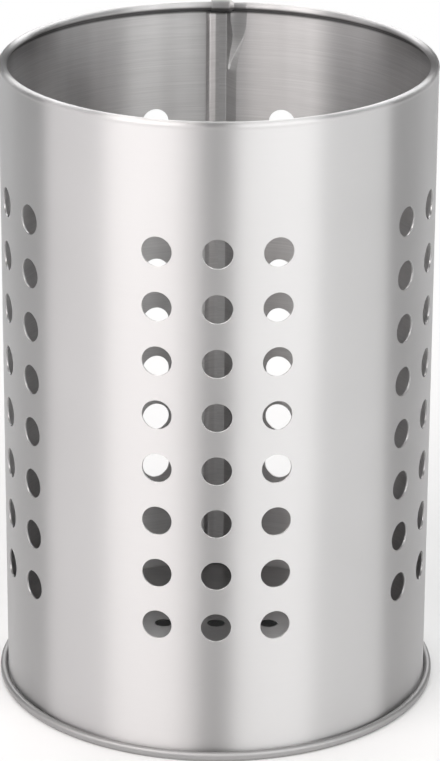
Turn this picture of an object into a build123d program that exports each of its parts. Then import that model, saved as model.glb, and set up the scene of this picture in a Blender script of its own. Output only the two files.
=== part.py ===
from build123d import *
from math import acos, asin, atan2, cos, degrees, hypot, pi, radians, sin
import os

# Utensil holder: an open cylinder rolled from one perforated steel sheet, closed by a lock seam
# at the back, with a curled rim, and a recessed, drained base pan double-seamed to its foot.
# Millimetres, +Z up, the foot on z = 0. The middle column of holes faces -Y and the seam faces +Y.
# A place along the sheet is measured from the seam line, positive towards +X at the back.

# Wall sheet
wall_diameter = 118.5
rim_height = 180.0
wall_sheet = 0.5

# Perforation, with every pitch measured along the sheet
hole_diameter = 8.1
hole_rows = 8
lowest_row_height = 39.0
row_pitch = 15.1
columns_in_group = 3
column_pitch = 16.0
hole_groups = 5
seam_to_column = 18.55

# Curled rim
rim_roll_diameter = 2.4
rim_stand_out = 0.3
rim_flare_radius = 1.5
rim_curl_angle = 262.0
rim_neck = 0.4

# Lock seam: the left edge folds in flush, the right edge steps over it and folds back under it
seam_left_fold = 1.7
seam_crest_end = 2.4
seam_step_width = 2.7
seam_step_bend = 0.4
seam_layer_gap = 0.1
seam_step_clearance = 0.1
seam_hook_clearance = 0.2
seam_notch = 0.4

# Rim lap: the right end of the curled rim rides over the left end
lap_overhang = 2.2
lap_under_end = 2.5
lap_end_clearance = 0.7
lap_ramp_length = 3.8
lap_gap = 0.08

# Base pan
pan_sheet = 0.5
floor_height = 6.0
pan_bend_radius = 0.75

# Double seam at the foot: the wall's hook and the pan's hook, one inside the other
foot_seam_height = 2.6
foot_layer_gap = 0.25
body_hook_length = 0.1
end_hook_length = 0.1
foot_joint_gap = 0.2

# Drain holes in the base
drain_diameter = 5.0
drain_pitch = 15.2
drain_rows = 3

# How far a cutter runs past each side of a sheet, and how near to one line three points are straight
cutter_reach = 1.0
straight_tolerance = 1e-6

# Radii, layers and heights that follow
wall_radius = wall_diameter / 2
wall_mid = wall_radius - wall_sheet / 2
turn_length = 2 * pi * wall_mid
group_width = (columns_in_group - 1) * column_pitch
group_pitch = (turn_length - 2 * seam_to_column - group_width) / (hole_groups - 1)
seam_layer = wall_sheet + seam_layer_gap
lap_layer = wall_sheet + lap_gap

roll_mid = (rim_roll_diameter - wall_sheet) / 2
roll_centre_radius = wall_radius + rim_stand_out - rim_roll_diameter / 2
roll_centre_height = rim_height - rim_roll_diameter / 2
flare_reach = rim_flare_radius + roll_mid
flare_turn = acos((wall_mid + rim_flare_radius - roll_centre_radius) / flare_reach)
rim_base = roll_centre_height - flare_reach * sin(flare_turn) - rim_neck

seam_top = rim_base - seam_notch
seam_bottom = floor_height + seam_notch

chuck_mid = wall_radius - wall_sheet - foot_layer_gap - pan_sheet / 2
end_hook_mid = wall_radius + foot_layer_gap + pan_sheet / 2
body_hook_mid = wall_radius + pan_sheet + 2 * foot_layer_gap + wall_sheet / 2
seaming_wall_mid = body_hook_mid + wall_sheet / 2 + foot_layer_gap + pan_sheet / 2
body_hook_radius = (body_hook_mid - wall_mid) / 2
end_hook_radius = (seaming_wall_mid - end_hook_mid) / 2
body_hook_centre = pan_sheet + foot_layer_gap + wall_sheet / 2 + body_hook_radius
end_hook_centre = foot_seam_height - pan_sheet / 2 - end_hook_radius

# The step of the lock seam: its slope, and how far it stands from the left fold
seam_rise = 3 * seam_layer
step_lift = seam_rise - 2 * seam_step_bend
step_slope = atan2(step_lift, seam_step_width) + asin(2 * seam_step_bend / hypot(step_lift, seam_step_width))
step_run = (seam_rise - 2 * seam_step_bend * (1 - cos(step_slope))) / sin(step_slope)
step_distance = seam_layer + wall_sheet + seam_step_clearance
step_middle = seam_left_fold + (step_distance - seam_layer / 2 * cos(step_slope)) / sin(step_slope)
step_foot = step_middle + seam_step_width / 2
seam_hook_length = seam_left_fold + seam_crest_end - seam_hook_clearance

lap_start = lap_under_end + lap_end_clearance
lap_ramp_start = lap_start + lap_ramp_length


def bent_sheet(start, heading, moves, thickness, place):
    """Face of a sheet whose middle line follows moves from a start point and heading in degrees.

    A move is (length, 0) for a straight run, or (radius, angle) for a bend, positive to the left.
    place(x, y) puts each flat point where it belongs.
    """
    x, y = start
    facing = radians(heading)
    left_points, right_points = [], []
    for size, angle in moves:
        stations = []
        for share in (0, 0.5, 1):
            if angle == 0:
                stations.append((x + size * share * cos(facing), y + size * share * sin(facing), facing))
                continue
            side = 1 if angle > 0 else -1
            turned = facing + radians(angle) * share
            stations.append((x + side * size * (sin(turned) - sin(facing)),
                             y - side * size * (cos(turned) - cos(facing)), turned))
        for points, offset in ((left_points, thickness / 2), (right_points, -thickness / 2)):
            points.append([place(px - offset * sin(turned), py + offset * cos(turned))
                           for px, py, turned in stations])
        x, y, facing = stations[-1]
    sides = [curve_through(points) for points in left_points + right_points]
    start_cap = Line(left_points[0][0], right_points[0][0])
    end_cap = Line(left_points[-1][-1], right_points[-1][-1])
    return make_face(sides + [start_cap, end_cap])


def curve_through(points):
    """Arc through three points, or a straight line where the three are in line."""
    begin, middle, end = points
    if (middle - (begin + end) / 2).length < straight_tolerance:
        return Line(begin, end)
    return ThreePointArc(begin, middle, end)


def on_plan(along, inward):
    """Plan point at a distance along the sheet and a depth inward of its middle line."""
    angle = along / wall_mid
    return Vector((wall_mid - inward) * sin(angle), (wall_mid - inward) * cos(angle))


def on_section(radius, height):
    """Point of an upright section through the axis."""
    return Vector(radius, 0, height)


def turned_section(section, along):
    """Upright section turned to a place along the sheet."""
    return Rot(0, 0, 90 - degrees(along / wall_mid)) * section


def swept_section(section, begin, end):
    """Upright section swept about the axis from one place along the sheet to another."""
    return revolve(turned_section(section, end), Axis.Z, degrees((end - begin) / wall_mid))


def seam_left_plan():
    """Plan of the left edge: folded in, with its hook."""
    moves = [(seam_layer, 180), (seam_hook_length, 0)]
    return bent_sheet((seam_left_fold, 0), 0, moves, wall_sheet, on_plan)


def seam_right_plan():
    """Plan of the right edge: its step over the left fold, the crest, and its own fold and hook."""
    crest_run = step_middle - seam_step_width / 2 + seam_crest_end
    moves = [(seam_step_bend, -degrees(step_slope)), (step_run, 0), (seam_step_bend, degrees(step_slope))]
    moves += [(crest_run, 0), (seam_layer, 180), (seam_hook_length, 0)]
    return bent_sheet((step_foot, 0), 180, moves, wall_sheet, on_plan)


def rim_moves(outward):
    """Moves of the curled rim, set outward by a layer where it laps over itself."""
    return [(rim_neck, 0), (rim_flare_radius - outward, -degrees(flare_turn)),
            (roll_mid + outward, degrees(flare_turn) + rim_curl_angle)]


def rim_section(outward):
    """Upright section of the rim alone."""
    return bent_sheet((wall_mid + outward, rim_base), 90, rim_moves(outward), wall_sheet, on_section)


def wall_section(top, more_moves=()):
    """Upright section of the wall from the hook at its foot to a height, and on through more moves."""
    moves = [(body_hook_length, 0), (body_hook_radius, -180), (top - body_hook_centre, 0), *more_moves]
    start = (body_hook_mid, body_hook_centre + body_hook_length)
    return bent_sheet(start, -90, moves, wall_sheet, on_section)


def lock_seam():
    """Both folded edges over the height of the seam, as separate pieces."""
    return [Pos(0, 0, seam_bottom) * extrude(plan, seam_top - seam_bottom)
            for plan in (seam_left_plan(), seam_right_plan())]


def rim_lap():
    """The two ends of the rim, the left one plain, the right one ramped up and lapped over it."""
    under = swept_section(rim_section(0), seam_left_fold, lap_under_end)
    over = swept_section(rim_section(lap_layer), -lap_overhang, lap_start)
    ramp = loft([turned_section(rim_section(lap_layer), lap_start),
                 turned_section(rim_section(0), lap_ramp_start)], ruled=True)
    return [under, over, ramp]


def punches():
    """Round cutters for every hole of every group."""
    cutter = Rot(0, 90, 0) * Cylinder(hole_diameter / 2, wall_sheet + 2 * cutter_reach)
    cutters = []
    for group in range(hole_groups):
        for column in range(columns_in_group):
            along = seam_to_column + group * group_pitch + column * column_pitch
            for row in range(hole_rows):
                height = lowest_row_height + row * row_pitch
                cutters.append(turned_section(Pos(wall_mid, 0, height) * cutter, along))
    return cutters


def perforated_wall():
    """The rolled, seamed, curled and perforated wall, all one sheet."""
    barrel = swept_section(wall_section(rim_base, rim_moves(0)), lap_ramp_start - turn_length, seam_left_fold)
    strip = swept_section(wall_section(seam_top), step_foot, lap_ramp_start)
    foot_end = swept_section(wall_section(seam_bottom - seam_notch), seam_left_fold + foot_joint_gap, step_foot)
    return barrel.cut(*punches()).fuse(strip, foot_end, *lock_seam(), *rim_lap())


def base_pan():
    """The recessed base, its edge hooked round the wall's foot, with its drain holes."""
    floor_mid = floor_height - pan_sheet / 2
    moves = [(chuck_mid - pan_bend_radius, 0), (pan_bend_radius, -90)]
    moves += [(floor_mid - pan_sheet / 2 - 2 * pan_bend_radius, 0), (pan_bend_radius, 90)]
    moves += [(seaming_wall_mid - chuck_mid - 2 * pan_bend_radius, 0), (pan_bend_radius, 90)]
    moves += [(end_hook_centre - pan_sheet / 2 - pan_bend_radius, 0), (end_hook_radius, 180)]
    moves += [(end_hook_length, 0)]
    pan = revolve(bent_sheet((0, floor_mid), 0, moves, pan_sheet, on_section), Axis.Z, 360)
    drains = GridLocations(drain_pitch, drain_pitch, drain_rows, drain_rows)
    cutter = Cylinder(drain_diameter / 2, pan_sheet + 2 * cutter_reach)
    return pan - [Pos(0, 0, floor_mid) * place * cutter for place in drains]


os.makedirs("parts", exist_ok=True)
export_step(perforated_wall(), "parts/perforated_wall.step")
export_step(base_pan(), "parts/base_pan.step")
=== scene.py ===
import logging
import math
from dataclasses import dataclass, field
from enum import Enum
from typing import Any, Callable, Iterable, Mapping, Sequence

import bpy
import numpy as np
from mathutils import Matrix, Vector


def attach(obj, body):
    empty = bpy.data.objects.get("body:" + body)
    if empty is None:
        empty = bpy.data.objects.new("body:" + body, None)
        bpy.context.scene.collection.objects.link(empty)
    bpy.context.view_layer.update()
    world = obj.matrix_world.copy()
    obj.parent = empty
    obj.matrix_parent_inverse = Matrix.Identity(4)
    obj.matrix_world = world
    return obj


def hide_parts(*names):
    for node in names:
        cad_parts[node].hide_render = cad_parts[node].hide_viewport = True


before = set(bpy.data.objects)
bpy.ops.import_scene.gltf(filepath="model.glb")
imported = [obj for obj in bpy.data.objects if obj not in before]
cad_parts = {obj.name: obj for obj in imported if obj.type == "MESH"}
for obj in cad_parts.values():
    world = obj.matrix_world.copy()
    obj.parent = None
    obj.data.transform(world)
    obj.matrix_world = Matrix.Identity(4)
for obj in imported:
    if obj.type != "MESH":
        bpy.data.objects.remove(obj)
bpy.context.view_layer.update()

LOG = logging.getLogger("utensil_holder")
MM = 0.001
BODY = "root"
UP = np.array([0.0, 0.0, 1.0])
NOISE_MEAN = 0.5
EDGE_SLANTS = ((1, math.pi / 4), (1, 0.0), (-1, 0.0), (-1, -math.pi / 4))


class Brushing(Enum):
    """The way the grain of a brushed sheet runs."""

    ROUND_THE_AXIS = "round the axis"
    ALONG_X = "along x"


class Number:
    """A number in a shader, whose operators add Math nodes."""

    def __init__(self, shader: "Shader", socket: bpy.types.NodeSocket) -> None:
        """Wraps an output socket of a shader.

        Args:
            shader: The shader that the socket belongs to.
            socket: The output socket.
        """
        self.shader = shader
        self.socket = socket

    def math(self, operation: str, *values: "Number | float") -> "Number":
        """Adds a Math node on this number and more values.

        Args:
            operation: The Math node's operation.
            values: The numbers or sockets that follow this one.

        Returns:
            The node's result.
        """
        return self.shader.math(operation, self, *values)

    def __add__(self, other: "Number | float") -> "Number":
        """This number plus another."""
        return self.math("ADD", other)

    def __sub__(self, other: "Number | float") -> "Number":
        """This number minus another."""
        return self.math("SUBTRACT", other)

    def __rsub__(self, other: float) -> "Number":
        """A plain value minus this number."""
        return self.shader.math("SUBTRACT", other, self)

    def __mul__(self, other: "Number | float") -> "Number":
        """This number times another."""
        return self.math("MULTIPLY", other)

    def __truediv__(self, other: "Number | float") -> "Number":
        """This number over another."""
        return self.math("DIVIDE", other)

    __radd__ = __add__


class Shader:
    """The node tree of one material, with an output node and nothing else at first."""

    def __init__(self, name: str) -> None:
        """Makes an empty material.

        Args:
            name: The material's name.
        """
        self.material = bpy.data.materials.new(name)
        self.material.use_nodes = True
        self.tree = self.material.node_tree
        self.tree.nodes.clear()
        self.output = self.node("ShaderNodeOutputMaterial")

    def node(self, kind: str, settings: Mapping[str, Any] | None = None,
             sockets: Mapping[str | int, Any] | None = None) -> bpy.types.Node:
        """Adds a node, sets it and feeds it.

        Args:
            kind: The node's type.
            settings: Properties of the node, set before its sockets are looked up.
            sockets: Values or links by the input's name or number.

        Returns:
            The node.
        """
        node = self.tree.nodes.new(kind)
        for name, value in (settings or {}).items():
            setattr(node, name, value)
        for name, value in (sockets or {}).items():
            self.feed(node.inputs[name], value)
        return node

    def feed(self, socket: bpy.types.NodeSocket, value: Any) -> None:
        """Gives an input socket a value or a link.

        Args:
            socket: The input.
            value: A Number, an output socket or a plain value.
        """
        if isinstance(value, Number):
            value = value.socket
        if isinstance(value, bpy.types.NodeSocket):
            self.tree.links.new(value, socket)
        else:
            socket.default_value = value

    def number(self, node: bpy.types.Node, output: str | int = 0) -> Number:
        """An output of a node as a Number."""
        return Number(self, node.outputs[output])

    def math(self, operation: str, *values: Number | float) -> Number:
        """Adds a Math node.

        Args:
            operation: The node's operation.
            values: Its inputs in order.

        Returns:
            The result.
        """
        return self.number(self.node("ShaderNodeMath", {"operation": operation}, dict(enumerate(values))))

    def object_place(self) -> tuple[Number, Number, Number]:
        """The three coordinates of a point in the frame, in metres."""
        texture = self.node("ShaderNodeTexCoord")
        split = self.node("ShaderNodeSeparateXYZ", sockets={0: texture.outputs["Object"]})
        return self.number(split, "X"), self.number(split, "Y"), self.number(split, "Z")

    def blend(self, value: Number, low: float, high: float) -> Number:
        """Rises smoothly from 0 at one value to 1 at another, or falls where the first is higher.

        Args:
            value: The number that is measured.
            low: Where the result is 0.
            high: Where the result is 1.

        Returns:
            The share.
        """
        return self.number(self.node("ShaderNodeMapRange", {"interpolation_type": "SMOOTHSTEP"}, {
            "Value": value, "From Min": low, "From Max": high}))

    def vector(self, x: Number | float, y: Number | float, z: Number | float) -> bpy.types.NodeSocket:
        """A vector put together from three numbers."""
        return self.node("ShaderNodeCombineXYZ", sockets={0: x, 1: y, 2: z}).outputs[0]

    def noise(self, place: bpy.types.NodeSocket, detail: float, roughness: float = 0.5) -> Number:
        """Noise of scale 1 at a place that is already stretched.

        Args:
            place: The vector to read the noise at.
            detail: How many finer layers the noise has.
            roughness: How strong the finer layers are.

        Returns:
            The noise, about 0.5 on average.
        """
        return self.number(self.node("ShaderNodeTexNoise", sockets={
            "Vector": place, "Scale": 1.0, "Detail": detail, "Roughness": roughness}), "Fac")


class Measure(Enum):
    """What the place of a darkening band is measured by, for painted shade and for duller steel alike."""

    HEIGHT = "height above the table"
    RADIUS = "distance from the axis"


@dataclass(frozen=True)
class PaintedShadeAndDullBand:
    """A band of darker, rougher steel between two heights or radii, and inside a radius. Under the rim's curl
    its darkening is painted shade; round the pan's rolled edge it makes duller steel.
    """

    measure: Measure
    low: float
    high: float
    soft: float
    tone: float
    roughness: float = 0.0
    inside_of: float = 1.0

    def share(self, shader: Shader, height: Number, radius: Number) -> Number:
        """How much of the band's effect a place has.

        Args:
            shader: The shader that gets the nodes.
            height: The place's height.
            radius: The place's distance from the axis.

        Returns:
            The share, from 0 to 1.
        """
        value = height if self.measure is Measure.HEIGHT else radius
        rise = shader.blend(value, self.low - self.soft, self.low + self.soft)
        fall = shader.blend(value, self.high + self.soft, self.high - self.soft)
        return rise * fall * radius.math("LESS_THAN", self.inside_of)


@dataclass(frozen=True)
class BrushedSteel:
    """Satin stainless steel with grain lines and clouds, and upright smears inside the wall's radius."""

    name: str
    brushing: Brushing
    colour: tuple[float, float, float] = (0.62, 0.613, 0.613)
    roughness: float = 0.42
    anisotropy: float = 1.0
    highlight_turn: float = 0.25
    grain_length: float = 38 * MM
    grain_width: float = 0.16 * MM
    coarse_length_share: float = 0.4
    coarse_width_share: float = 3.0
    coarse_share: float = 0.4
    fine_roughness: float = 0.65
    grain_tone: float = 0.05
    grain_roughness: float = 0.09
    grain_depth: float = 0.0035 * MM
    cloud_size: float = 24 * MM
    cloud_roughness: float = 0.05
    cloud_tone: float = 0.025
    wrap_radius: float = 59.0 * MM
    inside_soft: float = 0.1 * MM
    smear_width: float = 11 * MM
    smear_length: float = 160 * MM
    smear_tone: float = 0.35
    inner_grain_tone: float = 0.5
    bands: tuple[PaintedShadeAndDullBand, ...] = ()

    def material(self) -> bpy.types.Material:
        """Builds the finish.

        Returns:
            The material.
        """
        shader = Shader(self.name)
        x, y, z = shader.object_place()
        radius = shader.math("SQRT", x * x + y * y)
        around = shader.math("ARCTAN2", x, 0.0 - y) * self.wrap_radius
        along, across, through = ((x, y, z) if self.brushing is Brushing.ALONG_X
                                  else (around, z + radius, radius))
        fine = shader.noise(shader.vector(
            along / self.grain_length, across / self.grain_width, through / self.grain_length),
            3.0, self.fine_roughness)
        coarse = shader.noise(shader.vector(
            along / (self.coarse_length_share * self.grain_length),
            across / (self.coarse_width_share * self.grain_width), through / self.grain_length), 2.0)
        grain = fine * (1.0 - self.coarse_share) + coarse * self.coarse_share - NOISE_MEAN
        clouds = shader.noise(shader.vector(
            x / self.cloud_size, y / self.cloud_size, z / self.cloud_size), 3.0) - NOISE_MEAN
        smears = shader.noise(shader.vector(
            x / self.smear_width, y / self.smear_width, z / self.smear_length), 2.0) - NOISE_MEAN
        inside = shader.blend(radius, self.wrap_radius + self.inside_soft,
                              self.wrap_radius - self.inside_soft)
        tone = 1.0 + grain * self.grain_tone + clouds * self.cloud_tone
        tone = tone + inside * (smears * self.smear_tone + grain * self.inner_grain_tone)
        roughness = self.roughness + grain * self.grain_roughness + clouds * self.cloud_roughness
        # Bands darken the colour here: under the rim's curl this is painted shade, and round the pan's rolled
        # edge the steel is made darker and rougher.
        for band in self.bands:
            share = band.share(shader, z, radius)
            tone = tone * (1.0 - share * (1.0 - band.tone))
            roughness = roughness + share * band.roughness
        colour = shader.node("ShaderNodeVectorMath", {"operation": "SCALE"}, {0: self.colour, "Scale": tone})
        bump = shader.node("ShaderNodeBump", sockets={
            "Strength": 1.0, "Distance": self.grain_depth, "Height": grain})
        surface = shader.node("ShaderNodeBsdfPrincipled", sockets={
            "Base Color": colour.outputs[0],
            "Metallic": 1.0,
            "Roughness": roughness,
            "Anisotropic": self.anisotropy,
            "Anisotropic Rotation": self.highlight_turn,
            "Normal": bump.outputs[0],
        })
        shader.feed(shader.output.inputs["Surface"], surface.outputs[0])
        return shader.material


def bent_path(start: tuple[float, float], heading: float,
              moves: Iterable[tuple[float, float, int]]) -> np.ndarray:
    """Follows straight runs and bends in a plane.

    Args:
        start: The first point.
        heading: The first heading, in radians.
        moves: Length, 0 and spans of a run, or radius, turn in radians and spans of a bend.

    Returns:
        One row of x, y and heading for each station.
    """
    stations = [(*start, heading)]
    for size, turn, spans in moves:
        x, y, facing = stations[-1]
        for step in range(1, spans + 1):
            if turn == 0.0:
                run = size * step / spans
                stations.append((x + run * math.cos(facing), y + run * math.sin(facing), facing))
                continue
            radius = math.copysign(size, turn)
            turned = facing + turn * step / spans
            stations.append((x + radius * (math.sin(turned) - math.sin(facing)),
                             y - radius * (math.cos(turned) - math.cos(facing)), turned))
    return np.array(stations)


def rounded_path(corners: Sequence[tuple[float, float]], reaches: Sequence[float], spans: int) -> np.ndarray:
    """Follows a line of corners, each rounded as an arc.

    Args:
        corners: The corners, with the path's ends first and last.
        reaches: How far from each inner corner its arc begins.
        spans: Spans in each arc.

    Returns:
        One row of x, y and heading for each station.
    """
    points = np.array(corners)
    legs = np.diff(points, axis=0)
    ways = legs / np.linalg.norm(legs, axis=1)[:, None]
    stations = [(*points[0], math.atan2(ways[0][1], ways[0][0]))]
    for corner, reach, way_in, way_out in zip(points[1:-1], reaches, ways[:-1], ways[1:]):
        weight = math.cos(math.acos(np.clip(way_in @ way_out, -1.0, 1.0)) / 2)
        begin, end = corner - reach * way_in, corner + reach * way_out
        for share in np.linspace(0.0, 1.0, spans + 1):
            parts = np.array([(1 - share) ** 2, 2 * weight * share * (1 - share), share ** 2])
            place = (parts[0] * begin + parts[1] * corner + parts[2] * end) / parts.sum()
            way = (1 - share) * way_in + share * way_out
            stations.append((*place, math.atan2(way[1], way[0])))
    stations.append((*points[-1], math.atan2(ways[-1][1], ways[-1][0])))
    return np.array(stations)


class SheetSurface:
    """The middle surface of a bent steel sheet, made of four-sided faces."""

    def __init__(self) -> None:
        """Starts with no point and no face."""
        self.points: list[np.ndarray] = []
        self.normals: list[np.ndarray] = []
        self.faces: list[np.ndarray] = []
        self.count = 0

    def add_points(self, points: np.ndarray, normals: np.ndarray) -> np.ndarray:
        """Adds points.

        Args:
            points: Places, with x, y and z on the last axis.
            normals: The way out of the sheet's first side at each place.

        Returns:
            The points' numbers, in the same arrangement.
        """
        shape = points.shape[:-1]
        size = int(np.prod(shape))
        numbers = np.arange(self.count, self.count + size).reshape(shape)
        self.points.append(points.reshape(-1, 3))
        self.normals.append(np.broadcast_to(normals, points.shape).reshape(-1, 3))
        self.count += size
        return numbers

    def add_strip(self, first: np.ndarray, second: np.ndarray) -> None:
        """Adds the faces between two lines of points.

        Args:
            first: Numbers of the points of one line.
            second: Numbers of the points of the next line.
        """
        self.faces.append(np.stack([first[:-1], first[1:], second[1:], second[:-1]], axis=-1))

    def add_loop(self, first: np.ndarray, second: np.ndarray) -> None:
        """Adds the faces between two closed loops of points."""
        self.add_strip(np.append(first, first[0]), np.append(second, second[0]))

    def thicken(self, name: str, thickness: float, edge_round: float) -> bpy.types.Object:
        """Makes the closed mesh of the sheet, with both skins and slightly rounded edges.

        Args:
            name: The object's name.
            thickness: The sheet's thickness.
            edge_round: The radius along every free edge. The edge stands that far outside the faces.

        Returns:
            The object, in the scene.
        """
        points, normals, faces = self._used()
        corners = points[faces]
        lie = np.cross(corners[:, 2] - corners[:, 0], corners[:, 3] - corners[:, 1])
        backward = (lie * normals[faces].sum(axis=1)).sum(axis=1) < 0
        faces[backward] = faces[backward][:, ::-1]
        count = len(points)
        begin, end = self._free_edges(faces, count)
        outward = np.zeros_like(points)
        sideways = np.cross(points[end] - points[begin], normals[begin] + normals[end])
        sideways /= np.linalg.norm(sideways, axis=1)[:, None]
        np.add.at(outward, begin, sideways)
        np.add.at(outward, end, sideways)
        rim = np.unique(np.concatenate([begin, end]))
        edge_out = outward[rim] / np.linalg.norm(outward[rim], axis=1)[:, None]
        half = thickness / 2
        vertices = [points + normals * half, points - normals * half]
        directions = [normals, -normals]
        rows = np.zeros((len(EDGE_SLANTS) + 2, count), dtype=int)
        rows[0], rows[-1] = np.arange(count), np.arange(count) + count
        for row, (side, slant) in enumerate(EDGE_SLANTS, 1):
            push = side * (half - edge_round) + edge_round * math.sin(slant)
            vertices.append(points[rim] + edge_out * edge_round * math.cos(slant) + normals[rim] * push)
            directions.append(edge_out * math.cos(slant) + normals[rim] * math.sin(slant))
            rows[row, rim] = np.arange(len(rim)) + 2 * count + (row - 1) * len(rim)
        bands = [np.stack([upper[end], upper[begin], lower[begin], lower[end]], axis=-1)
                 for upper, lower in zip(rows[:-1], rows[1:])]
        return mesh_object(name, np.vstack(vertices), np.vstack(directions),
                           np.vstack([faces, faces[:, ::-1] + count, *bands]))

    def _used(self) -> tuple[np.ndarray, np.ndarray, np.ndarray]:
        """The points, normals and faces, without the points that no face has."""
        faces = np.vstack([block.reshape(-1, 4) for block in self.faces])
        kept, renumbered = np.unique(faces, return_inverse=True)
        return (np.vstack(self.points)[kept], np.vstack(self.normals)[kept], renumbered.reshape(faces.shape))

    @staticmethod
    def _free_edges(faces: np.ndarray, count: int) -> tuple[np.ndarray, np.ndarray]:
        """The edges that only one face has.

        Args:
            faces: The faces, all turned the same way.
            count: How many points there are.

        Returns:
            The first and last points of the edges, in the direction of their faces.
        """
        begin, end = faces.ravel(), np.roll(faces, -1, axis=1).ravel()
        free = ~np.isin(begin * count + end, end * count + begin)
        return begin[free], end[free]


def mesh_object(name: str, vertices: np.ndarray, directions: np.ndarray,
                faces: np.ndarray) -> bpy.types.Object:
    """Makes a smooth mesh with exact vertex normals.

    Args:
        name: The object's name.
        vertices: The places.
        directions: The normals.
        faces: The corners of each face.

    Returns:
        The object, in the scene.
    """
    mesh = bpy.data.meshes.new(name)
    mesh.from_pydata(vertices.tolist(), [], faces.tolist())
    mesh.polygons.foreach_set("use_smooth", [True] * len(mesh.polygons))
    mesh.normals_split_custom_set_from_vertices(
        (directions / np.linalg.norm(directions, axis=1)[:, None]).tolist())
    piece = bpy.data.objects.new(name, mesh)
    bpy.context.scene.collection.objects.link(piece)
    return piece


Placing = Callable[[np.ndarray, np.ndarray], tuple[np.ndarray, np.ndarray]]


def turns_round(border: np.ndarray) -> np.ndarray:
    """Even angles for the points round a square, from its first corner on."""
    return -0.75 * math.pi + np.arange(len(border)) * 2 * math.pi / len(border)


@dataclass(frozen=True)
class Punching:
    """One round hole in a square cell of a sheet's mesh."""

    radius: float
    edge_round: float
    ring: float = 1.3

    def cut(self, surface: SheetSurface, border: np.ndarray, place: Placing,
            centre: tuple[float, float]) -> None:
        """Fills a cell round its hole.

        Args:
            surface: The sheet that the cell is part of.
            border: Numbers of the points round the cell, from its lowest corner on.
            place: Where points of the flat sheet lie.
            centre: The hole's centre on the flat sheet.
        """
        turn = turns_round(border)
        inner = border
        for radius in (self.ring * self.radius, self.radius + self.edge_round):
            x, y = centre[0] + radius * np.cos(turn), centre[1] + radius * np.sin(turn)
            ring = surface.add_points(*place(x, y))
            surface.add_loop(inner, ring)
            inner = ring


def border_of(cell: np.ndarray) -> np.ndarray:
    """The numbers round a rectangle of points, from its first corner along its first row."""
    return np.concatenate([cell[0, :-1], cell[:-1, -1], cell[-1, :0:-1], cell[:0:-1, 0]])


@dataclass(frozen=True)
class CurledRim:
    """The section of the rim, curled inward and down."""

    top: float = 180.0 * MM
    roll_diameter: float = 2.4 * MM
    stand_out: float = 0.1 * MM
    flare_radius: float = 4.0 * MM
    curl: float = math.radians(262.0)
    neck: float = 0.4 * MM
    flare_spans: int = 5
    roll_spans: int = 26

    def section(self, wall_radius: float, sheet: float, outward: float) -> np.ndarray:
        """The middle line of the rim.

        Args:
            wall_radius: The wall's outer radius.
            sheet: The sheet's thickness.
            outward: How far the rim is set out to lap over itself.

        Returns:
            One row of radius, height and heading for each station, from the neck to the curl's end.
        """
        middle = wall_radius - sheet / 2
        roll = (self.roll_diameter - sheet) / 2
        reach = self.flare_radius + roll
        roll_centre = wall_radius + self.stand_out - self.roll_diameter / 2
        flare = math.acos((middle + self.flare_radius - roll_centre) / reach)
        base = self.top - self.roll_diameter / 2 - reach * math.sin(flare) - self.neck
        return bent_path((middle + outward, base), math.pi / 2, [
            (self.neck, 0.0, 1), (self.flare_radius - outward, -flare, self.flare_spans),
            (roll + outward, flare + self.curl, self.roll_spans)])


class Zone(Enum):
    """The three heights of the wall's sheet, which end differently at the seam."""

    FOOT = "below the seam's folds"
    SEAM = "the folded seam"
    RIM = "the curled rim"


@dataclass(frozen=True)
class StepLine:
    """Where the step beside the seam's crest runs at one height."""

    height: float
    groove: float
    groove_depth: float
    crease: float
    crease_depth: float
    foot: float


# Each line in millimetres: height, groove and its depth, crease and its depth, foot. Set to the photo.
STEP_LINES = tuple(StepLine(*(size * MM for size in line)) for line in (
    (158.0, 2.40, 1.572, 2.90, 1.264, 4.95),
    (160.0, 2.40, 1.572, 2.90, 1.264, 5.00),
    (162.8, 2.75, 1.25, 3.63, 1.18, 5.45),
    (164.6, 3.05, 1.00, 4.45, 0.88, 5.80),
    (166.5, 3.35, 0.75, 5.33, 0.60, 6.25),
    (168.3, 3.75, 0.50, 6.29, 0.30, 6.75),
    (170.2, 3.90, 0.36, 7.12, 0.12, 7.30),
    (172.0, 3.60, 0.38, 7.55, 0.04, 7.62),
    (174.0, 3.20, 0.42, 7.80, 0.02, 7.85),
    (176.45, 3.20, 0.42, 7.90, 0.02, 8.00),
    (176.825, 3.20, -0.58, 4.20, 0.20, 8.00),
))


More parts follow.
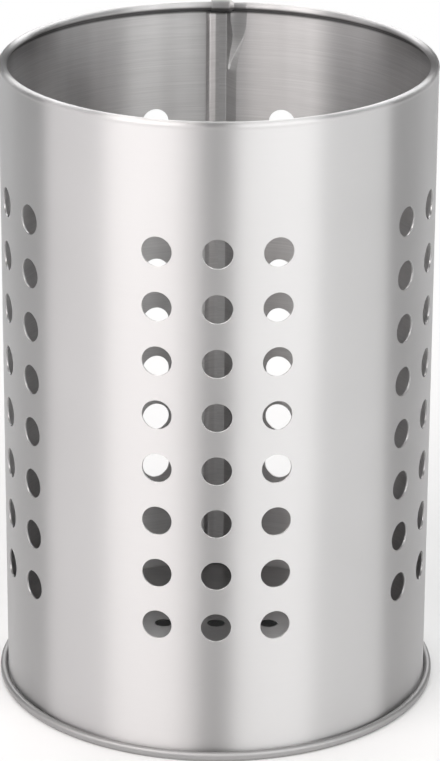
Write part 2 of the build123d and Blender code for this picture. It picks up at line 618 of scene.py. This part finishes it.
@dataclass(frozen=True)
class LockSeam:
    """The plan of the sheet's two upright edges. Places along the sheet are counted from the seam's line."""

    left_fold: float = 1.7 * MM
    fold_radius: float = 0.6 * MM
    left_hook_end: float = -1.7 * MM
    right_hook_end: float = 1.5 * MM
    crest_left: float = -3.6 * MM
    shoulder: tuple[float, float] = (-2.6 * MM, 1.49 * MM)
    ridge: tuple[float, float] = (-0.9 * MM, 1.84 * MM)
    crest_right: tuple[float, float] = (2.03 * MM, 1.8 * MM)
    step: tuple[StepLine, ...] = STEP_LINES
    lap_start: float = 3.2 * MM
    lap_depth: float = -0.58 * MM
    lap_end: float = -2.2 * MM
    under_end: float = 2.5 * MM
    foot_joint: float = 1.9 * MM
    corner_reaches: tuple[float, ...] = (
        0.18 * MM, 0.3 * MM, 0.3 * MM, 0.02 * MM, 0.1 * MM, 0.03 * MM, 0.02 * MM)
    notch: float = 0.4 * MM
    bottom: float = 6.4 * MM
    arc_spans: int = 6

    @property
    def top(self) -> float:
        """The height at which the folded seam ends and the rim begins."""
        return self.step[-1].height

    @property
    def lap_column(self) -> int:
        """The first column that the rim and the foot share with the folded seam."""
        return 2 * (self.arc_spans + 1) + 1

    @property
    def valley_column(self) -> int:
        """The first column that runs through to the rim."""
        return 5 * (self.arc_spans + 1)

    @property
    def foot_column(self) -> int:
        """The first column that runs through to the foot."""
        return 7 * (self.arc_spans + 1)

    @property
    def main_column(self) -> int:
        """The first column of the cells of holes."""
        return self.foot_column + 1

    def right_end(self, zone: Zone, height: float, margin: float) -> np.ndarray:
        """Stations of the right end, which steps over the left one, folds and hooks under it.

        Args:
            zone: The part of the wall.
            height: The height above the table.
            margin: Where the stations end, at the first cell of holes.

        Returns:
            One row of distance, depth and heading for each station.
        """
        groove, crease, foot = self._step_corners(height)
        corners = [(self.right_hook_end, self.fold_radius), (self.crest_left, self.fold_radius),
                   self.shoulder, self.ridge, self.crest_right, groove, crease, foot, (margin, 0.0)]
        path = rounded_path(corners, self.corner_reaches, self.arc_spans)
        if zone is Zone.SEAM:
            return path
        joined, end = ((self.valley_column, (self.lap_end, self.lap_depth)) if zone is Zone.RIM
                       else (self.foot_column, (self.foot_joint, 0.0)))
        share = np.linspace(0.0, 1.0, joined - self.lap_column + 1)[:-1]
        through = path[joined].copy()
        if zone is Zone.FOOT:
            path[joined:, 1:] = 0.0
            through[1] = 0.0
        shared = np.zeros((len(share), 3))
        shared[:, 0] = end[0] + (through[0] - end[0]) * share
        shared[:, 1] = np.interp(shared[:, 0], [end[0], self.lap_start, through[0]],
                                 [end[1], end[1], through[1]])
        path[self.lap_column:joined] = shared
        return path

    def _step_corners(self, height: float) -> tuple[tuple[float, float], ...]:
        """The groove, the crease and the foot of the step at a height, as distance and depth."""
        heights = [line.height for line in self.step]
        groove, groove_depth, crease, crease_depth, foot = (
            float(np.interp(height, heights, [getattr(line, name) for line in self.step]))
            for name in ("groove", "groove_depth", "crease", "crease_depth", "foot"))
        return (groove, groove_depth), (crease, crease_depth), (foot, 0.0)

    def left_end(self, zone: Zone, margin: float) -> np.ndarray:
        """Stations of the left end, which folds in and hooks round the right one.

        Args:
            zone: The part of the wall.
            margin: Where the stations begin, at the last cell of holes.

        Returns:
            One row of distance, depth and heading for each station.
        """
        hook = self.left_fold - self.left_hook_end
        path = bent_path((-margin, 0.0), 0.0, [
            (margin + self.left_fold, 0.0, self.arc_spans), (self.fold_radius, math.pi, 2 * self.arc_spans),
            (hook, 0.0, 1)])
        if zone is Zone.RIM:
            fold = path[self.arc_spans:]
            fold[:, 0] = np.linspace(self.left_fold, self.under_end, len(fold))
            fold[:, 1:] = 0.0
        return path


@dataclass(frozen=True)
class Perforation:
    """The groups of round holes in the wall."""

    hole_diameter: float = 8.1 * MM
    rows: int = 8
    lowest_row: float = 39.0 * MM
    row_pitch: float = 15.1 * MM
    columns: int = 3
    column_pitch: float = 16.0 * MM
    groups: int = 5
    seam_to_column: float = 18.55 * MM
    cell_spans: int = 10
    gap_spans: int = 8

    @property
    def margin(self) -> float:
        """How far from the seam's line the first cell of holes begins."""
        return self.seam_to_column - self.column_pitch / 2

    def group_starts(self, turn_length: float) -> np.ndarray:
        """Where the cells of each group begin along the sheet."""
        last = turn_length - self.margin - self.columns * self.column_pitch
        return np.linspace(self.margin, last, self.groups)

    def along(self, turn_length: float) -> np.ndarray:
        """The mesh's columns from the first cell of holes round to the last."""
        starts = self.group_starts(turn_length)
        ends = starts + self.columns * self.column_pitch
        blocks = [np.linspace(start, end, self.columns * self.cell_spans + 1)
                  for start, end in zip(starts, ends)]
        gaps = [np.linspace(end, start, self.gap_spans + 1)[1:-1]
                for end, start in zip(ends[:-1], starts[1:])]
        return np.concatenate([part for pair in zip(blocks, gaps) for part in pair] + [blocks[-1]])

    def heights(self) -> np.ndarray:
        """The mesh's rows from below the lowest holes to above the highest."""
        low = self.lowest_row - self.row_pitch / 2
        return np.linspace(low, low + self.rows * self.row_pitch, self.rows * self.cell_spans + 1)


@dataclass
class PerforatedWall:
    """The wall: one sheet, punched, rolled, seamed at the back, curled at the rim and hooked at the foot."""

    finish: BrushedSteel
    diameter: float = 118.5 * MM
    sheet: float = 0.5 * MM
    edge_round: float = 0.07 * MM
    rim: CurledRim = field(default_factory=CurledRim)
    seam: LockSeam = field(default_factory=LockSeam)
    holes: Perforation = field(default_factory=Perforation)
    hook_radius: float = 0.75 * MM
    hook_bottom: float = 1.0 * MM
    hook_length: float = 0.1 * MM
    hook_spans: int = 10
    low_spans: int = 3
    flare_spans: int = 18

    def __post_init__(self) -> None:
        """Works out the middle radius and the length round the sheet."""
        self.middle = (self.diameter - self.sheet) / 2
        self.turn_length = 2 * math.pi * self.middle

    def build(self) -> bpy.types.Object:
        """Builds the wall's mesh.

        Returns:
            The wall.
        """
        surface = SheetSurface()
        foot = self._foot_rows()
        rows = foot + self._wall_rows() + self._rim_rows()
        numbers = surface.add_points(np.array([row[1] for row in rows]), np.array([row[2] for row in rows]))
        last = numbers.shape[1] - 1
        fold = last - 2 * self.seam.arc_spans - 1
        limits = {Zone.FOOT: (self.seam.lap_column, fold), Zone.SEAM: (0, last),
                  Zone.RIM: (self.seam.lap_column, last)}
        joints = {Zone.FOOT: (self.seam.foot_column, fold), Zone.SEAM: (self.seam.valley_column, fold)}
        low = len(foot) + self.low_spans
        band = range(low, low + self.holes.rows * self.holes.cell_spans)
        for j, (below, above) in enumerate(zip(rows[:-1], rows[1:])):
            begin, end = limits[below[0]] if below[0] is above[0] else joints[below[0]]
            for first, stop in self._solid_spans(begin, end, j in band):
                surface.add_strip(numbers[j, first:stop + 1], numbers[j + 1, first:stop + 1])
        self._punch(surface, numbers, low)
        return surface.thicken("wall_sheet", self.sheet, self.edge_round)

    def dress(self, wall: bpy.types.Object) -> None:
        """Gives the wall its steel.

        Args:
            wall: The wall's object.
        """
        wall.data.materials.append(self.finish.material())

    def on_wall(self, along: np.ndarray, height: np.ndarray) -> tuple[np.ndarray, np.ndarray]:
        """Places on the plain round of the wall, and the ways out of it."""
        angle = along / self.middle
        out = np.stack([np.sin(angle), np.cos(angle), np.zeros_like(angle)], axis=-1)
        return self.middle * out + np.multiply.outer(height, UP), out

    def _plan(self, zone: Zone, height: float) -> np.ndarray:
        """All stations round the sheet at one height: distance, depth and heading."""
        right = self.seam.right_end(zone, height, self.holes.margin)
        left = self.seam.left_end(zone, self.holes.margin) + (self.turn_length, 0.0, 0.0)
        along = self.holes.along(self.turn_length)
        main = np.column_stack([along, np.zeros((len(along), 2))])
        return np.vstack([right[:-1], main, left[1:]])

    def _placed(self, plan: np.ndarray, radius: np.ndarray, height: np.ndarray,
                heading: np.ndarray) -> tuple[np.ndarray, np.ndarray]:
        """Places a row of stations in space.

        Args:
            plan: Distance, depth and heading of each station round the sheet.
            radius: Each station's radius.
            height: Each station's height.
            heading: Each station's heading in the upright section, upward being a right angle.

        Returns:
            The places and the ways out of the sheet.
        """
        angle = plan[:, 0] / self.middle
        radial = np.stack([np.sin(angle), np.cos(angle), np.zeros_like(angle)], axis=-1)
        tangent = np.stack([np.cos(angle), -np.sin(angle), np.zeros_like(angle)], axis=-1)
        out = np.sin(plan[:, 2])[:, None] * tangent + np.cos(plan[:, 2])[:, None] * radial
        out = np.sin(heading)[:, None] * out - np.cos(heading)[:, None] * UP
        return radius[:, None] * radial + height[:, None] * UP, out

    def _foot_rows(self) -> list[tuple[Zone, np.ndarray, np.ndarray]]:
        """The rows of the hook and of the wall below the seam."""
        plan = self._plan(Zone.FOOT, self.seam.bottom)
        centre = self.hook_bottom + self.hook_radius
        rise = self.seam.bottom - self.seam.notch - centre
        section = bent_path((self.middle + 2 * self.hook_radius, centre + self.hook_length), -math.pi / 2,
                            [(self.hook_length, 0.0, 1), (self.hook_radius, -math.pi, self.hook_spans),
                             (rise, 0.0, 1)])
        ones = np.ones(len(plan))
        return [(Zone.FOOT, *self._placed(plan, ones * radius, ones * height, ones * heading))
                for radius, height, heading in section]

    def _wall_rows(self) -> list[tuple[Zone, np.ndarray, np.ndarray]]:
        """The rows of the wall over the height of the seam."""
        band = self.holes.heights()
        step = [line.height for line in self.seam.step]
        flare = np.linspace(step[0], step[-2], self.flare_spans + 1)
        low = np.linspace(self.seam.bottom, band[0], self.low_spans + 1)[:-1]
        heights = np.concatenate([low, band, flare, [self.seam.top]])
        plans = [self._plan(Zone.SEAM, height) for height in heights]
        placed = [self._placed(plan, self.middle - plan[:, 1], np.full(len(plan), height),
                               np.full(len(plan), math.pi / 2)) for plan, height in zip(plans, heights)]
        points, out = np.array([p for p, _ in placed]), np.array([n for _, n in placed])
        rise = np.gradient(points, axis=0)
        rise /= np.linalg.norm(rise, axis=2)[:, :, None]
        out -= (out * rise).sum(axis=2)[:, :, None] * rise
        return [(Zone.SEAM, *row) for row in zip(points, out)]

    def _rim_rows(self) -> list[tuple[Zone, np.ndarray, np.ndarray]]:
        """The rows of the curled rim, with its lapped ends."""
        plan = self._plan(Zone.RIM, self.seam.top)
        sections = np.array([self.rim.section(self.diameter / 2, self.sheet, -depth) for depth in plan[:, 1]])
        return [(Zone.RIM, *self._placed(plan, *sections[:, k].T)) for k in range(sections.shape[1])]

    def _solid_spans(self, begin: int, end: int, perforated: bool) -> list[tuple[int, int]]:
        """The stretches of a row that have plain faces.

        Args:
            begin: The row's first column.
            end: The row's last column.
            perforated: Whether the row runs through the cells of the holes.

        Returns:
            First and last column of each stretch.
        """
        if not perforated:
            return [(begin, end)]
        wide = self.holes.columns * self.holes.cell_spans
        starts = self.seam.main_column + np.arange(self.holes.groups) * (wide + self.holes.gap_spans)
        edges = [begin, *np.stack([starts, starts + wide], axis=1).ravel().tolist(), end]
        return list(zip(edges[::2], edges[1::2]))

    def _punch(self, surface: SheetSurface, numbers: np.ndarray, low: int) -> None:
        """Fills the cells round the holes.

        Args:
            surface: The sheet's surface.
            numbers: Numbers of the mesh's points, by row and column.
            low: The row at which the lowest cells begin.
        """
        punching = Punching(self.holes.hole_diameter / 2, self.edge_round)
        spans = self.holes.cell_spans
        starts = self.holes.group_starts(self.turn_length)
        for group, start in enumerate(starts):
            for column in range(self.holes.columns):
                first = (self.seam.main_column + group * (self.holes.columns * spans + self.holes.gap_spans)
                         + column * spans)
                along = start + (column + 0.5) * self.holes.column_pitch
                for row in range(self.holes.rows):
                    bottom = low + row * spans
                    cell = numbers[bottom:bottom + spans + 1, first:first + spans + 1]
                    height = self.holes.lowest_row + row * self.holes.row_pitch
                    punching.cut(surface, border_of(cell), self.on_wall, (along, height))


@dataclass
class BasePan:
    """The raised base: one sheet, pressed as a pan, whose edge is hooked round the wall's foot."""

    finish: BrushedSteel
    wall: PerforatedWall
    sheet: float = 0.5 * MM
    edge_round: float = 0.07 * MM
    floor_height: float = 6.0 * MM
    bend_radius: float = 0.75 * MM
    layer_gap: float = 0.25 * MM
    foot_height: float = 2.6 * MM
    hook_length: float = 0.1 * MM
    drain_diameter: float = 5.0 * MM
    drain_pitch: float = 15.2 * MM
    drain_rows: int = 3
    cell_spans: int = 20
    blend_radius: float = 40.0 * MM
    blend_spans: int = 3
    bend_spans: int = 6
    floor_spans: int = 4
    run_spans: int = 2

    def build(self) -> bpy.types.Object:
        """Builds the pan's mesh.

        Returns:
            The pan.
        """
        surface = SheetSurface()
        cells = self.drain_rows * self.cell_spans
        half = self.drain_rows * self.drain_pitch / 2
        line = np.linspace(-half, half, cells + 1)
        lattice = surface.add_points(*self.on_floor(*np.meshgrid(line, line)))
        self._punch(surface, lattice)
        outline = border_of(lattice)
        turn = turns_round(outline)
        square = np.array(surface.points[0])[outline - lattice[0, 0]]
        ring = outline
        for share in np.linspace(0.0, 1.0, self.blend_spans + 1)[1:]:
            x = (1 - share) * square[:, 0] + share * self.blend_radius * np.cos(turn)
            y = (1 - share) * square[:, 1] + share * self.blend_radius * np.sin(turn)
            blended = surface.add_points(*self.on_floor(x, y))
            surface.add_loop(ring, blended)
            ring = blended
        radial = np.stack([np.cos(turn), np.sin(turn), np.zeros_like(turn)], axis=-1)
        for radius, height, heading in self._section()[1:]:
            turned = surface.add_points(radius * radial + height * UP,
                                        math.sin(heading) * radial - math.cos(heading) * UP)
            surface.add_loop(ring, turned)
            ring = turned
        return surface.thicken("base_sheet", self.sheet, self.edge_round)

    def dress(self, pan: bpy.types.Object) -> None:
        """Gives the pan its steel.

        Args:
            pan: The pan's object.
        """
        pan.data.materials.append(self.finish.material())

    def on_floor(self, x: np.ndarray, y: np.ndarray) -> tuple[np.ndarray, np.ndarray]:
        """Places on the raised floor, and the way down out of it."""
        height = np.full_like(x, self.floor_height - self.sheet / 2)
        return np.stack([x, y, height], axis=-1), -UP

    def _section(self) -> np.ndarray:
        """The middle line from the floor over the foot seam to the hook's end: radius, height and heading."""
        inner = self.wall.diameter / 2 - self.wall.sheet - self.layer_gap - self.sheet / 2
        outer = (self.wall.middle + 2 * self.wall.hook_radius + self.wall.sheet / 2 + self.layer_gap
                 + self.sheet / 2)
        inside_hook = self.wall.diameter / 2 + self.layer_gap + self.sheet / 2
        hook_radius = (outer - inside_hook) / 2
        floor = self.floor_height - self.sheet / 2
        bend, right_angle, spans = self.bend_radius, math.pi / 2, self.bend_spans
        hook_centre = self.foot_height - self.sheet / 2 - hook_radius
        return bent_path((self.blend_radius, floor), 0.0, [
            (inner - bend - self.blend_radius, 0.0, self.floor_spans), (bend, -right_angle, spans),
            (floor - self.sheet / 2 - 2 * bend, 0.0, self.run_spans), (bend, right_angle, spans),
            (outer - inner - 2 * bend, 0.0, self.run_spans), (bend, right_angle, spans),
            (hook_centre - self.sheet / 2 - bend, 0.0, 1), (hook_radius, math.pi, 2 * spans),
            (self.hook_length, 0.0, 1)])

    def _punch(self, surface: SheetSurface, lattice: np.ndarray) -> None:
        """Fills the cells round the drain holes.

        Args:
            surface: The pan's surface.
            lattice: Numbers of the points of the floor's square middle.
        """
        punching = Punching(self.drain_diameter / 2, self.edge_round)
        middle = (self.drain_rows - 1) / 2
        for row in range(self.drain_rows):
            for column in range(self.drain_rows):
                low, left = row * self.cell_spans, column * self.cell_spans
                cell = lattice[low:low + self.cell_spans + 1, left:left + self.cell_spans + 1]
                punching.cut(surface, border_of(cell), self.on_floor,
                             ((column - middle) * self.drain_pitch, (row - middle) * self.drain_pitch))


@dataclass(frozen=True)
class SoftBox:
    """One rectangular lamp, aimed at the holder from a place round it.

    Its azimuth is in degrees from the camera's side, its sizes in metres and its power in watts.
    """

    name: str
    azimuth: float
    height: float
    distance: float
    width: float
    tall: float
    power: float
    colour: tuple[float, float, float] = (1.0, 1.0, 1.0)

    def light(self, target: Vector) -> None:
        """Adds the lamp.

        Args:
            target: What it is aimed at.
        """
        lamp = bpy.data.lights.new(self.name, "AREA")
        lamp.shape = "RECTANGLE"
        lamp.size, lamp.size_y = self.width, self.tall
        lamp.energy = self.power
        lamp.color = self.colour
        holder = bpy.data.objects.new(self.name, lamp)
        turn = math.radians(self.azimuth)
        holder.location = (self.distance * math.sin(turn), -self.distance * math.cos(turn), self.height)
        holder.rotation_euler = (target - holder.location).to_track_quat("-Z", "Y").to_euler()
        bpy.context.scene.collection.objects.link(holder)


@dataclass
class Studio:
    """The floor, the soft light and the camera.

    The camera's place, angles and focal length are fitted to points of the photograph, and the lamps'
    powers to its grey levels.
    """

    floor_size: float = 6.0
    floor_tone: float = 0.8
    near_glow: float = 0.012
    shadow_reach: tuple[float, float] = (0.2, 0.5)
    world_tone: float = 0.04
    camera_place: tuple[float, float, float] = (0.269 * MM, -945.255 * MM, 451.598 * MM)
    camera_pitch: float = 0.36797
    camera_yaw: float = 0.00052
    camera_roll: float = 0.00543
    focal_pixels: float = 3643.63
    picture_height: float = 761.0
    sensor: float = 36.0
    nearest_seen: float = 10.0 * MM
    aim_height: float = 100.0 * MM
    lamps: Sequence[SoftBox] = (
        SoftBox("left_key", -41.5, 1.1, 1.1, 1.0, 0.9, 10.2, (1.0, 0.96, 0.94)),
        SoftBox("left_fill", -53.0, 0.4, 1.1, 2.2, 0.8, 9.5, (1.0, 0.965, 0.97)),
        SoftBox("right_key", 33.0, 1.05, 1.1, 1.05, 1.0, 8.9, (1.0, 0.99, 0.98)),
        SoftBox("right_fill", 52.0, 0.25, 1.1, 2.12, 0.5, 7.3, (0.995, 1.0, 1.0)),
        SoftBox("top", 0.0, 1.5, 0.2, 3.0, 3.0, 9.0),
        SoftBox("back", 180.0, 1.1, 1.1, 2.0, 0.9, 18.0),
    )

    def build(self) -> None:
        """Sets the stage, the lamps and the camera."""
        self._lay_floor()
        self._light_world()
        for lamp in self.lamps:
            lamp.light(Vector((0.0, 0.0, self.aim_height)))
        self._place_camera()
        bpy.context.scene.view_settings.view_transform = "Standard"

    def _lay_floor(self) -> None:
        """Lays a pale floor, matt where the holder's shadow falls on it and fading to white all round."""
        half = self.floor_size / 2
        mesh = bpy.data.meshes.new("floor")
        mesh.from_pydata([(-half, -half, 0.0), (half, -half, 0.0), (half, half, 0.0), (-half, half, 0.0)], [],
                         [(0, 1, 2, 3)])
        floor = bpy.data.objects.new("floor", mesh)
        bpy.context.scene.collection.objects.link(floor)
        shader = Shader("pale_floor")
        x, y, _ = shader.object_place()
        far = shader.blend((x * x + y * y).math("SQRT"), *self.shadow_reach)
        path = shader.node("ShaderNodeLightPath")
        seen = (shader.number(path, "Is Camera Ray") + shader.number(path, "Is Glossy Ray")
                + shader.number(path, "Is Transmission Ray"))
        matt = shader.node("ShaderNodeBsdfDiffuse", sockets={"Color": (*[self.floor_tone] * 3, 1.0)})
        glow = shader.node("ShaderNodeEmission", sockets={"Color": (1.0, 1.0, 1.0, 1.0), "Strength": 1.0})
        level = far * (1.0 - self.near_glow) + self.near_glow
        mixed = shader.node("ShaderNodeMixShader", sockets={
            0: seen.math("MINIMUM", 1.0) * level, 1: matt.outputs[0], 2: glow.outputs[0]})
        shader.feed(shader.output.inputs["Surface"], mixed.outputs[0])
        mesh.materials.append(shader.material)

    def _light_world(self) -> None:
        """Gives the world an even dark grey."""
        world = bpy.data.worlds.new("studio")
        bpy.context.scene.world = world
        world.use_nodes = True
        background = world.node_tree.nodes["Background"]
        background.inputs["Color"].default_value = (*[self.world_tone] * 3, 1.0)

    def _place_camera(self) -> None:
        """Sets up the camera where the photograph was taken from."""
        lens = bpy.data.cameras.new("camera")
        lens.sensor_fit = "VERTICAL"
        lens.sensor_height = self.sensor
        lens.lens = self.sensor * self.focal_pixels / self.picture_height
        lens.clip_start = self.nearest_seen
        camera = bpy.data.objects.new("camera", lens)
        camera.matrix_world = (Matrix.Translation(self.camera_place)
                               @ Matrix.Rotation(-self.camera_yaw, 4, "Z")
                               @ Matrix.Rotation(math.pi / 2 - self.camera_pitch, 4, "X")
                               @ Matrix.Rotation(self.camera_roll, 4, "Z"))
        bpy.context.scene.collection.objects.link(camera)
        bpy.context.scene.camera = camera


def report(piece: bpy.types.Object, node: str) -> None:
    """Ties a piece to the frame and logs it.

    Args:
        piece: The piece.
        node: The CAD node that it stands for.
    """
    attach(piece, BODY)
    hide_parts(node)
    LOG.info("%s: %d faces, stands for %s", piece.name, len(piece.data.polygons), node)


def main() -> None:
    """Builds the holder and its studio."""
    logging.basicConfig(level=logging.INFO, format="%(message)s")
    # Painted shade: the wall's colour is darkened to a quarter under the rim's curl and just below it, on the
    # inner side only.
    painted_shade_under_curl = PaintedShadeAndDullBand(Measure.HEIGHT, low=176.7 * MM, high=178.6 * MM, soft=0.35 * MM, tone=0.25,
                          inside_of=58.95 * MM)
    wall = PerforatedWall(BrushedSteel("wall_steel", Brushing.ROUND_THE_AXIS, bands=(painted_shade_under_curl,)))
    wall_piece = wall.build()
    wall.dress(wall_piece)
    report(wall_piece, "perforated_wall")
    rolled_edge = PaintedShadeAndDullBand(Measure.RADIUS, low=58.9 * MM, high=70.0 * MM, soft=0.1 * MM, tone=0.8,
                           roughness=0.22)
    # The pan's steel colour is set darker than the wall's: painted shade for its floor deep inside the wall,
    # which darkens its foot bead as well.
    pan = BasePan(BrushedSteel("base_steel", Brushing.ALONG_X, colour=(0.48, 0.475, 0.475), roughness=0.32,
                               anisotropy=0.0, bands=(rolled_edge,)), wall)
    pan_piece = pan.build()
    pan.dress(pan_piece)
    report(pan_piece, "base_pan")
    Studio().build()
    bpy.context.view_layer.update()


if __name__ == "__main__":
    main()
